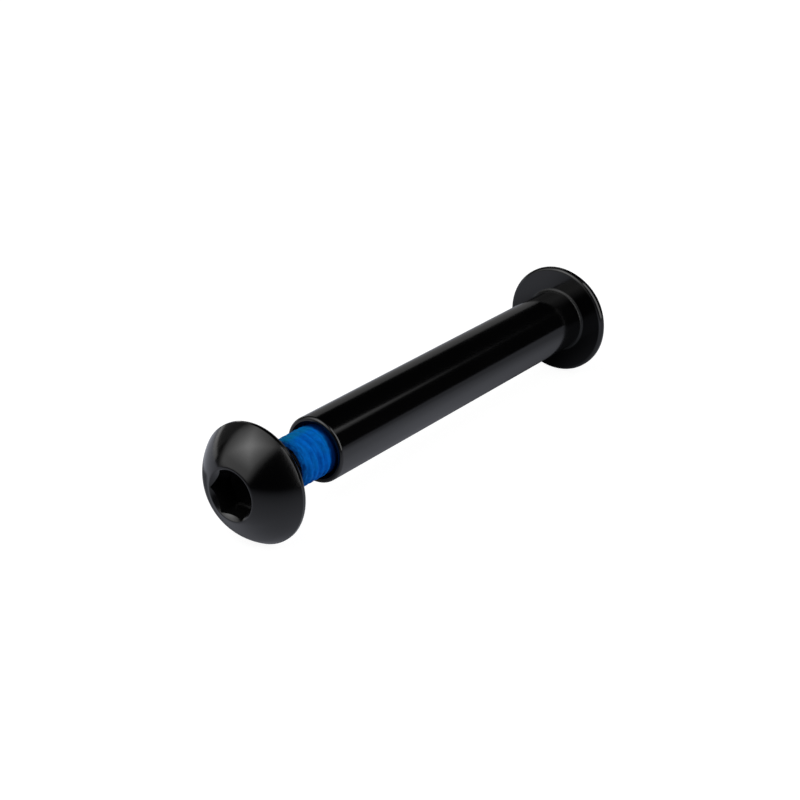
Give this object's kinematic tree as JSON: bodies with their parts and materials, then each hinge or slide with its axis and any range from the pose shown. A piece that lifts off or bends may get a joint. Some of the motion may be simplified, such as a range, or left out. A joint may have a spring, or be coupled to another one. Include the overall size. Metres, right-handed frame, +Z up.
{
  "type": "barrel bolt",
  "caption": "Black two-piece barrel bolt: a long round sleeve nut with a button head, closed by a button-head socket screw whose thread carries a blue locking coat.",
  "frame": {"origin": "centre of the barrel head's bearing face, on the bolt's axis", "axes": "+X along the bolt's axis from the barrel's head to the screw's head, +Z up, with both heads lying on their rims"},
  "size_m": [0.0676, 0.014, 0.014],
  "materials": {
    "barrel_black": "glossy black coating on steel",
    "screw_black": "satin black coating on steel",
    "locking_blue": "dry blue thread-locking coat"
  },
  "bodies": {
    "barrel_nut": {"barrel_nut": "barrel_black"},
    "thread_lock_coat": {"thread_lock_coat": "locking_blue"},
    "socket_screw": {"socket_screw": "screw_black"}
  },
  "joints": [
    {"name": "screw_travel", "type": "slide", "parent": "barrel_nut", "child": "thread_lock_coat", "axis": [1, 0, 0], "range_m": [-0.0094, 0.009]},
    {"name": "screw_turn", "type": "hinge", "parent": "thread_lock_coat", "child": "socket_screw", "pos_m": [0.0591, 0, 0], "axis": [1, 0, 0], "range_deg": [-3384, 3240]}
  ],
  "couplings": [
    {"joint": "screw_travel", "follows": "screw_turn", "m_per_rad": 0.00015915}
  ]
}
